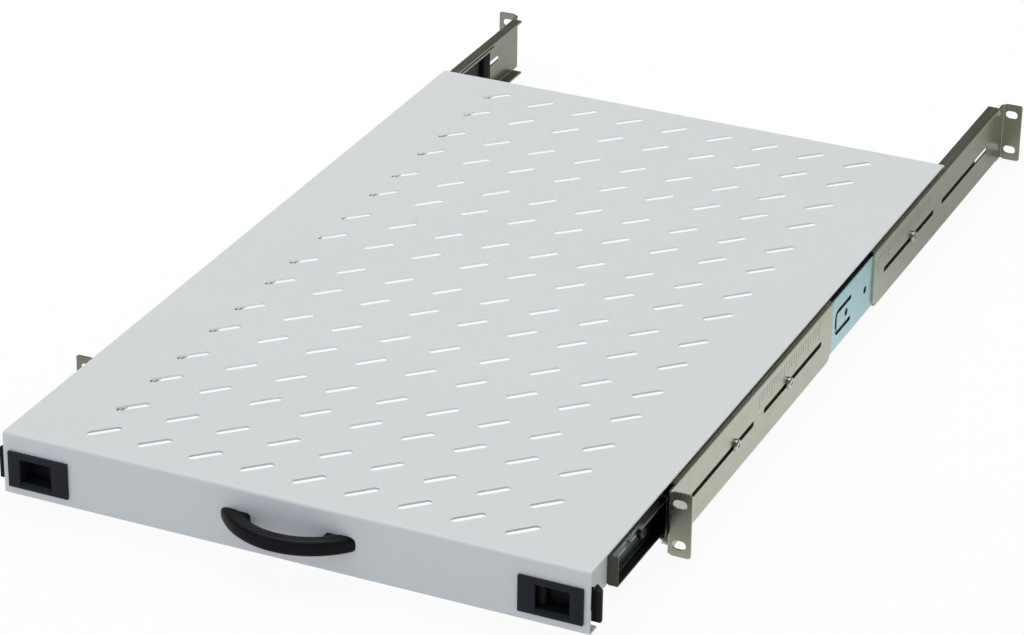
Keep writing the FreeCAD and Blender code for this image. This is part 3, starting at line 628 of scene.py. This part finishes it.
def bow_handle():
    """Moulded bow with a rounded foot inside each end, fused and smoothed, flat on the panel."""
    bar, bar_round, rise, half_span = 12.0, 4.2, 19.2, 43.5
    foot_start, foot_end, foot_half, foot_reach, foot_round = 28.5, 40.5, 5.3, 9.0, 2.6
    overrun, voxel = 4.0, 0.5
    radius = (half_span ** 2 + rise ** 2) / (2 * rise)
    front = PANEL - rise
    deselect_all()
    bpy.ops.mesh.primitive_plane_add(size=bar * MM, rotation=(0, math.pi / 2, 0),
                                     location=(0, front * MM, HANDLE_HEIGHT * MM))
    piece = start_piece("bow_handle")
    bpy.ops.mesh.bevel(offset=bar_round * MM, segments=5, affect="VERTICES")
    bpy.ops.mesh.spin(steps=26, angle=math.radians(60), axis=(0, 0, 1),
                      center=(0, (front + radius) * MM, HANDLE_HEIGHT * MM))
    pick("FACE", lambda place, normal: at(place.x, 0))
    bpy.ops.mesh.delete(type="FACE")
    reach = max(vertex.co.x for vertex in piece.data.vertices)
    side = 1 if reach > half_span * MM else -1
    left, right = sorted((side * foot_start, side * foot_end))
    add_block((left, PANEL - foot_reach, HANDLE_HEIGHT - foot_half),
              (right, PANEL + overrun, HANDLE_HEIGHT + foot_half))
    pick_edges(lambda end: between(end.x, left, right)
               and at(abs(end.z - HANDLE_HEIGHT), foot_half))
    soften(foot_round, 4)
    modify("MIRROR", use_axis=(True, False, False), use_clip=True, merge_threshold=0.05 * MM)
    facing_out()
    modify("REMESH", mode="VOXEL", voxel_size=voxel * MM, adaptivity=0.0)
    modify("SMOOTH", factor=0.5, iterations=9)
    open_mesh()
    cut(1, PANEL, below_only=True)
    close_mesh()
    settle(piece, "black_handle", "shelf", "handle", smooth=50)


# Latches: boxes by lowest and highest X, then Z

BEZEL_LOW, BEZEL_HIGH = box_of("right_latch_housing")
BEZEL = (BEZEL_LOW.x, BEZEL_HIGH.x, BEZEL_LOW.z, BEZEL_HIGH.z)
BEZEL_FRONT = BEZEL_LOW.y
BEZEL_ROUND = 0.5
HOUSING_HALF = 11.0
HOUSING = (173.2, 210.9, LATCH_MIDDLE - HOUSING_HALF, LATCH_MIDDLE + HOUSING_HALF)
HOUSING_WALL = 1.7
HOUSING_BACK = BEZEL_HIGH.y
CAVITY_BACK = HOUSING_BACK - HOUSING_WALL
WINDOW_HALF = HOUSING_HALF - HOUSING_WALL
WINDOW = (184.0, HOUSING[1] - HOUSING_WALL, LATCH_MIDDLE - WINDOW_HALF, LATCH_MIDDLE + WINDOW_HALF)
WINDOW_SILL = 2.4
WINDOW_ROUND = 0.35
SLOT_FRONT = -121.3
LUG_LONG = (191.6, 201.6)
LUG_DEEP = (-130.3, -126.3)
LUG_RISE = 1.1


def latch_bezel():
    """Bezel with a finger window whose sill slopes down to the front."""
    piece = start_block("right_latch_frame", BEZEL_LOW, (BEZEL_HIGH.x, PANEL, BEZEL_HIGH.z))
    pick("EDGE", lambda start, end: abs(start.y - end.y) > 1)
    soften(BEZEL_ROUND)
    for axis, place in zip((0, 0, 2, 2), WINDOW):
        cut(axis, place)
    pick("FACE", lambda place, normal: abs(normal.y) > SQUARE and inside(place, WINDOW))
    bpy.ops.mesh.bridge_edge_loops()
    pick_edges(lambda end: at(end.y, BEZEL_FRONT) and inside(end, WINDOW)
               and at(end.z, WINDOW[2]))
    bpy.ops.transform.translate(value=(0, 0, -WINDOW_SILL * MM))
    mouth = (WINDOW[0], WINDOW[1], WINDOW[2] - WINDOW_SILL, WINDOW[3])
    pick_edges(lambda end: at(end.y, BEZEL_FRONT) and inside(end, mouth))
    soften(WINDOW_ROUND)
    margin = 1.1
    middle = (BEZEL[0] + margin, BEZEL[1] - margin, BEZEL[2] + margin, BEZEL[3] - margin)
    pick("EDGE", lambda start, end: at(start.y, BEZEL_FRONT) and at(end.y, BEZEL_FRONT)
         and not inside((start + end) / 2, middle))
    soften(BEZEL_ROUND)
    return piece


def latch_housing():
    """Bezel, a hollow box behind it, snap lugs above and below, and the slot for the tongue."""
    piece = latch_bezel()
    add_block((HOUSING[0], PANEL, HOUSING[2]), (HOUSING[1], HOUSING_BACK, HOUSING[3]))
    pick("FACE", lambda place, normal: normal.y < -SQUARE and at(place.y, PANEL)
         and at(place.x, (HOUSING[0] + HOUSING[1]) / 2))
    bpy.ops.mesh.inset(thickness=HOUSING_WALL * MM)
    push(0, CAVITY_BACK - PANEL, 0)
    for place in (SLOT_FRONT, CAVITY_BACK, *LUG_DEEP):
        cut(1, place)
    for place in LUG_LONG:
        cut(0, place)
    opening = (WINDOW[1], HOUSING[1], WINDOW[2], WINDOW[3])
    pick("FACE", lambda place, normal: abs(normal.x) > SQUARE and inside(place, opening)
         and between(place.y, SLOT_FRONT, CAVITY_BACK))
    bpy.ops.mesh.bridge_edge_loops()
    for facing in (1, -1):
        pick("FACE", lambda place, normal: normal.z * facing > SQUARE
             and between(place.x, *LUG_LONG) and between(place.y, *LUG_DEEP)
             and at(abs(place.z - LATCH_MIDDLE), HOUSING_HALF))
        push(0, 0, LUG_RISE * facing)
    facing_out()
    return piece


def latch_slider():
    """Finger wall with grip ribs, plate behind the recess, bevelled and grooved tongue."""
    low, high = box_of("right_latch_bolt")
    wall_front, wall_end, wall_round = low.y, 189.2, 1.4
    plate_front, plate_half = -121.0, 9.0
    rib_margin, rib_step, rib_rise = 2.2, 2.0, 0.6
    tongue_start, tongue_bevel, overlap = 222.0, 5.6, 0.3
    groove, groove_depth = (224.2, 225.4), 1.2
    plate_low, plate_high = LATCH_MIDDLE - plate_half, LATCH_MIDDLE + plate_half
    piece = start_block("right_latch_slider", (low.x, plate_front, plate_low),
                        (tongue_start + overlap, high.y, plate_high))
    cut(0, wall_end)
    pick("FACE", lambda place, normal: normal.y < -SQUARE and place.x < wall_end)
    push(0, wall_front - plate_front, 0)
    pick_edges(lambda end: at(end.x, wall_end) and at(end.y, wall_front))
    soften(wall_round, 3)
    ribs = [plate_low + rib_margin + rib_step * number for number in range(8)]
    for rib in ribs:
        cut(2, rib)
    for rib in ribs[::2]:
        pick("FACE", lambda place, normal: normal.x > SQUARE and at(place.x, wall_end)
             and between(place.z, rib, rib + rib_step))
        push(rib_rise, 0, 0)
    add_block((tongue_start, low.y, low.z), high)
    pick_edges(lambda end: at(end.x, high.x) and at(end.y, high.y))
    soften(tongue_bevel, 1)
    for place in groove:
        cut(0, place)
    pick("FACE", lambda place, normal: normal.y < -SQUARE and between(place.x, *groove)
         and at(place.y, wall_front))
    push(0, groove_depth, 0)
    eased(0.3)
    open_mesh()
    weld()
    facing_out()
    return piece


# Fasteners

def pan_screw(length):
    """Pan-head screw along X, seat at the origin, with a cross recess in its head."""
    head, rise, head_round, shank = 4.6, 3.0, 1.6, 1.95
    recess_depth, recess_half, recess_thick, recess_taper, overrun = 1.8, 2.7, 0.65, 0.55, 1.0
    deselect_all()
    bpy.ops.mesh.primitive_cylinder_add(vertices=32, radius=head * MM, depth=rise * MM,
                                        location=(rise / 2 * MM, 0, 0),
                                        rotation=(0, math.pi / 2, 0))
    piece = start_piece("pan_screw")
    pick_edges(lambda end: at(end.x, rise))
    soften(head_round, 4)
    pick("FACE", lambda place, normal: normal.x < -SQUARE)
    bpy.ops.mesh.inset(thickness=(head - shank) * MM)
    push(-length, 0, 0)
    close_mesh()
    floor, top = rise - recess_depth, rise + overrun
    cutter = start_block("cross_cutter", (floor, -recess_half, -recess_thick),
                         (top, recess_half, recess_thick))
    add_block((floor, -recess_thick, -recess_half), (top, recess_thick, recess_half))
    pick("FACE", lambda place, normal: normal.x < -SQUARE)
    bpy.ops.transform.resize(value=(1, recess_taper, recess_taper), center_override=(0, 0, 0))
    take(piece)
    modify("BOOLEAN", operation="DIFFERENCE", object=cutter, solver="EXACT", use_self=True)
    bpy.data.objects.remove(cutter)
    return piece


def screw_row(name, model, seats, turn=(0, 0, 0)):
    """Screws of one node: copies of the model set on their seats, as one piece."""
    copies = []
    for number, seat in enumerate(seats):
        copy = copy_of(model, f"{name}_{number}")
        copy.rotation_euler = turn
        copy.location = [part * MM for part in seat]
        apply_place()
        copies.append(copy)
    take(copies[0])
    for copy in copies[1:]:
        copy.select_set(True)
    if len(copies) > 1:
        bpy.ops.object.join()
    rename(copies[0], name)
    return copies[0]


def clamp_screws():
    """Screws that clamp the brackets to the fixed slides."""
    model = pan_screw(length=2.7)
    seat = WEB_FACE + CLEARANCE
    for name, node, places in (("right_clamp_screws", "front_screws", (124.0, 230.0)),
                               ("right_rear_clamp_screw", "rear_screw", (508.0,))):
        row = screw_row(name, model, [(seat, place, 0) for place in places])
        settle_pair(row, "screw_zinc", "rails", node)
    bpy.data.objects.remove(model)


def slide_screws():
    """Screws that fasten the pull-out slides to the side rails."""
    model = pan_screw(length=4.7)
    seat = box_of("right_inner_member")[0].x + SLIDE_SHEET
    row = screw_row("right_slide_screws", model,
                    [(seat, place, 0) for place in (-20.0, 255.0, 530.0)])
    settle_pair(row, "screw_zinc", "shelf", "inner_screws", finish="slide_screw")
    bpy.data.objects.remove(model)


def handle_screws():
    """Screws that hold the handle from behind the panel."""
    model = pan_screw(length=10.5)
    seat = PANEL + SHEET
    row = screw_row("handle_fixing_screws", model,
                    [(x, seat, HANDLE_HEIGHT) for x in (-37.5, 37.5)], (0, 0, math.pi / 2))
    settle(row, "screw_zinc", "shelf", "handle_screws")
    bpy.data.objects.remove(model)


# Slide bumpers

def slide_bumper():
    """Rubber stop with a slot across its rear face."""
    slot_half, slot_rim, slot_depth = 4.0, 0.5, 2.5
    piece = start_block("right_rubber_stop", *box_of("right_slide_bumper"))
    for place in (-slot_half, slot_half):
        cut(2, place)
    pick("FACE", lambda place, normal: normal.y > SQUARE and abs(place.z) < slot_half)
    bpy.ops.mesh.inset(thickness=slot_rim * MM)
    push(0, -slot_depth, 0)
    eased(0.35)
    facing_out()
    return piece


# Sheet metal

def broken_edges(node, name, width):
    """Copy of a sheet piece, its triangles joined to whole faces and its sharp edges broken."""
    piece = copy_of(nodes[node], name)
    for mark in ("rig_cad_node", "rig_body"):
        del piece[mark]
    bpy.ops.mesh.customdata_custom_splitnormals_clear()
    open_mesh()
    weld()
    bpy.ops.mesh.dissolve_limited(angle_limit=math.radians(0.5))
    eased(width)
    return piece


def clear_of_brackets(piece):
    """Sink the web of the fixed slide by the clearance that lets a bracket run along it."""
    take(piece)
    open_mesh()
    pick("FACE", lambda place, normal: normal.x > FLAT and place.x > SLIDE_FACE - NEAR)
    bpy.ops.transform.translate(value=(-CLEARANCE * MM, 0, 0))
    close_mesh()


def sheet_pieces():
    """Tray, side rails, brackets and the two slide members that show."""
    look = {"smooth": 60, "flat": True}
    tray = broken_edges("shelf_tray", "tray_sheet", width=0.3)
    settle(tray, "shelf_paint", "shelf", "shelf_tray", **look)
    for node, name, width, slot, body in (
            ("side_rail", "rail_sheet", 0.3, "shelf_paint", "shelf"),
            ("front_bracket", "front_channel", 0.2, "bracket_zinc", "rails"),
            ("rear_bracket", "rear_channel", 0.2, "bracket_zinc", "{side}_rear_bracket"),
            ("outer_member", "fixed_slide", 0.15, "blue_zinc", "rails"),
            ("inner_member", "pull_slide", 0.15, "slide_zinc", "shelf")):
        right = broken_edges(f"right_{node}", f"right_{name}", width)
        if node == "outer_member":
            clear_of_brackets(right)
        settle_pair(right, slot, body, node, **look)


def leaf_springs():
    """Bowed leaf behind each finger wall; each side gets a mesh of its own."""
    right = broken_edges("right_latch_spring", "right_leaf_spring", width=0.06)
    pair = settle_pair(right, "spring_steel", "shelf", "latch_spring")
    for side, sign in (("right", 1), ("left", -1)):
        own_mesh(pair[side])


# Depth scale on the brackets

def depth_scale(name, first):
    """Fine upright marks along a bracket web, every fifth one longer, without numbers."""
    proud, width, low, high, bevel = 0.05, 0.7, 11.0, 19.0, 0.02
    step, count, fifth, longer = 5.0, 26, 5, 5.0
    piece = start_block(name, (WEB_FACE, first, low), (WEB_FACE + proud, first + width, high))
    pick_edges(lambda end: end.x > WEB_FACE + NEAR)
    soften(bevel, 1)
    modify("ARRAY", count=count, use_relative_offset=False, use_constant_offset=True,
           constant_offset_displace=(0, step * MM, 0))
    open_mesh()
    for number in range(0, count, fifth):
        mark = first + number * step
        pick("FACE", lambda place, normal: normal.z < -SQUARE
             and between(place.y, mark, mark + width))
        push(0, 0, -longer)
    close_mesh()
    return piece


sheet_pieces()
leaf_springs()
bow_handle()
for name, first, body in (("right_front_scale", 170.0, "rails"),
                          ("right_rear_scale", 424.0, "{side}_rear_bracket")):
    settle_pair(depth_scale(name, first), "bracket_zinc", body, finish="scale_mark")
settle_pair(latch_housing(), "latch_plastic", "shelf", "latch_housing")
settle_pair(latch_slider(), "bolt_plastic", "{side}_latch_bolt", "latch_bolt")
settle_pair(slide_bumper(), "bumper_rubber", "rails", "slide_bumper")
clamp_screws()
slide_screws()
handle_screws()


# Studio

def seen_rays(wiring):
    """What the camera sees, what a reflection or a see-through surface shows, and what lights
    a dull surface, each 0 or 1."""
    path = wiring.add("ShaderNodeLightPath").outputs
    mirrored = wiring.either(path["Is Glossy Ray"], path["Is Transmission Ray"])
    return path["Is Camera Ray"], mirrored, path["Is Diffuse Ray"]


def floor_shades(wiring, along):
    """How bright metal mirrors the floor at a place along Y: painted shade in reflections,
    darker at the front and at the back.
    """
    first, last = FLOOR_SHADES[0][0], FLOOR_SHADES[-1][0]
    ramp = wiring.add("ShaderNodeValToRGB")
    ramp.color_ramp.interpolation = "EASE"
    stops = ramp.color_ramp.elements
    while len(stops) < len(FLOOR_SHADES):
        stops.new(0.5)
    for stop, (place, level) in zip(stops, FLOOR_SHADES):
        stop.position = (place - first) / (last - first)
        stop.color = (level, level, level, 1.0)
    wiring.join(wiring.spread(along, 0.0, 1.0, first, last), ramp.inputs["Fac"])
    return ramp.outputs["Color"]


def lit_patch(wiring, place):
    """1 on the floor under the tray, 0 elsewhere, with soft edges."""
    sides = []
    for axis, middle, half in zip("XY", PATCH_MIDDLE, PATCH_HALF):
        distance = wiring.math("ABSOLUTE", wiring.math("SUBTRACT", place[axis], middle))
        sides.append(wiring.spread(distance, 1.0, 0.0, half - PATCH_FADE, half))
    return wiring.both(*sides)


def floor_paper():
    """Pale paper: white to the eye, with the soft shadow of the part kept in it."""
    material = bpy.data.materials.new("floor")
    material.use_nodes = True
    wiring = Wiring(material.node_tree)
    wiring.tree.nodes.clear()
    camera_ray, mirrored_ray, diffuse_ray = seen_rays(wiring)
    place = wiring.split(wiring.add("ShaderNodeNewGeometry").outputs["Position"])
    level = wiring.either(floor_shades(wiring, place["Y"]), wiring.outside(mirrored_ray))
    patch = wiring.both(lit_patch(wiring, place), diffuse_ray)
    white = wiring.add("ShaderNodeEmission")
    wiring.join(wiring.math("MULTIPLY_ADD", patch, PATCH_GLOW, level), white.inputs["Strength"])
    paper = wiring.add("ShaderNodeBsdfDiffuse")
    paper.inputs["Color"].default_value = PAPER
    share = wiring.math("MULTIPLY_ADD", camera_ray, FLOOR_WHITE - FLOOR_GLOW, FLOOR_GLOW)
    share = wiring.math("MULTIPLY_ADD", mirrored_ray, FLOOR_MIRRORED - FLOOR_GLOW, share)
    mix = wiring.add("ShaderNodeMixShader")
    wiring.join(share, mix.inputs["Fac"])
    wiring.join(paper.outputs["BSDF"], mix.inputs[1])
    wiring.join(white.outputs["Emission"], mix.inputs[2])
    surface = wiring.add("ShaderNodeOutputMaterial").inputs["Surface"]
    wiring.join(mix.outputs["Shader"], surface)
    return material


def studio_floor():
    deselect_all()
    bpy.ops.mesh.primitive_plane_add(size=FLOOR_SIZE,
                                     location=(0, 0, cad_box[0].z - FLOOR_DROP))
    floor = bpy.context.object
    floor.name = "floor"
    floor.data.materials.append(floor_paper())


def studio_sky():
    """White surroundings: full white to the eye and SKY_LEVEL as light; reflections show a white
    horizon under a dimmer ceiling."""
    world = bpy.data.worlds.new("studio")
    bpy.context.scene.world = world
    world.use_nodes = True
    wiring = Wiring(world.node_tree)
    background = wiring.tree.nodes["Background"].inputs
    background["Color"].default_value = WHITE
    camera_ray, mirrored_ray, _ = seen_rays(wiring)
    height = wiring.split(wiring.add("ShaderNodeTexCoord").outputs["Generated"])["Z"]
    ceiling = wiring.spread(height, 1.0, CEILING_LEVEL, 0.0, CEILING_START,
                            interpolation_type="SMOOTHSTEP")
    direct = wiring.spread(camera_ray, SKY_LEVEL, 1.0, 0.0, 1.0)
    level = wiring.add("ShaderNodeMix")
    wiring.join(mirrored_ray, level.inputs["Factor"])
    wiring.join(direct, level.inputs["A"])
    wiring.join(ceiling, level.inputs["B"])
    wiring.join(level.outputs["Result"], background["Strength"])


def soft_lamp(name, place, aim, width, depth, watts, colour):
    deselect_all()
    bpy.ops.object.light_add(type="AREA", location=place)
    lamp = bpy.context.object
    lamp.name = name
    lamp.data.shape = "RECTANGLE"
    lamp.data.size = width
    lamp.data.size_y = depth
    lamp.data.energy = watts
    lamp.data.color = colour
    lamp.rotation_euler = (Vector(aim) - Vector(place)).to_track_quat("-Z", "Y").to_euler()


def studio_camera():
    deselect_all()
    bpy.ops.object.camera_add(location=CAMERA_PLACE)
    camera = bpy.context.object
    camera.name = "camera"
    azimuth = Matrix.Rotation(CAMERA_AZIMUTH, 4, "Z")
    elevation = Matrix.Rotation(math.pi / 2 - CAMERA_ELEVATION, 4, "X")
    roll = Matrix.Rotation(CAMERA_ROLL, 4, "Z")
    camera.rotation_euler = (azimuth @ elevation @ roll).to_euler()
    camera.data.lens = CAMERA_LENS
    camera.data.sensor_width = CAMERA_SENSOR
    camera.data.clip_start, camera.data.clip_end = CAMERA_CLIP
    bpy.context.scene.camera = camera


studio_floor()
studio_sky()
soft_lamp("overhead", place=(-0.2, 0.6, 2.2), aim=(0, 0.35, 0), width=2.6, depth=2.2,
          watts=39.0, colour=(1.0, 1.0, 1.0))
soft_lamp("front_fill", place=(-1.3, -2.2, 0.7), aim=(0, 0, 0), width=1.4, depth=1.0,
          watts=8.4, colour=(0.44, 0.56, 1.0))
studio_camera()
bpy.context.scene.view_settings.view_transform = "Standard"
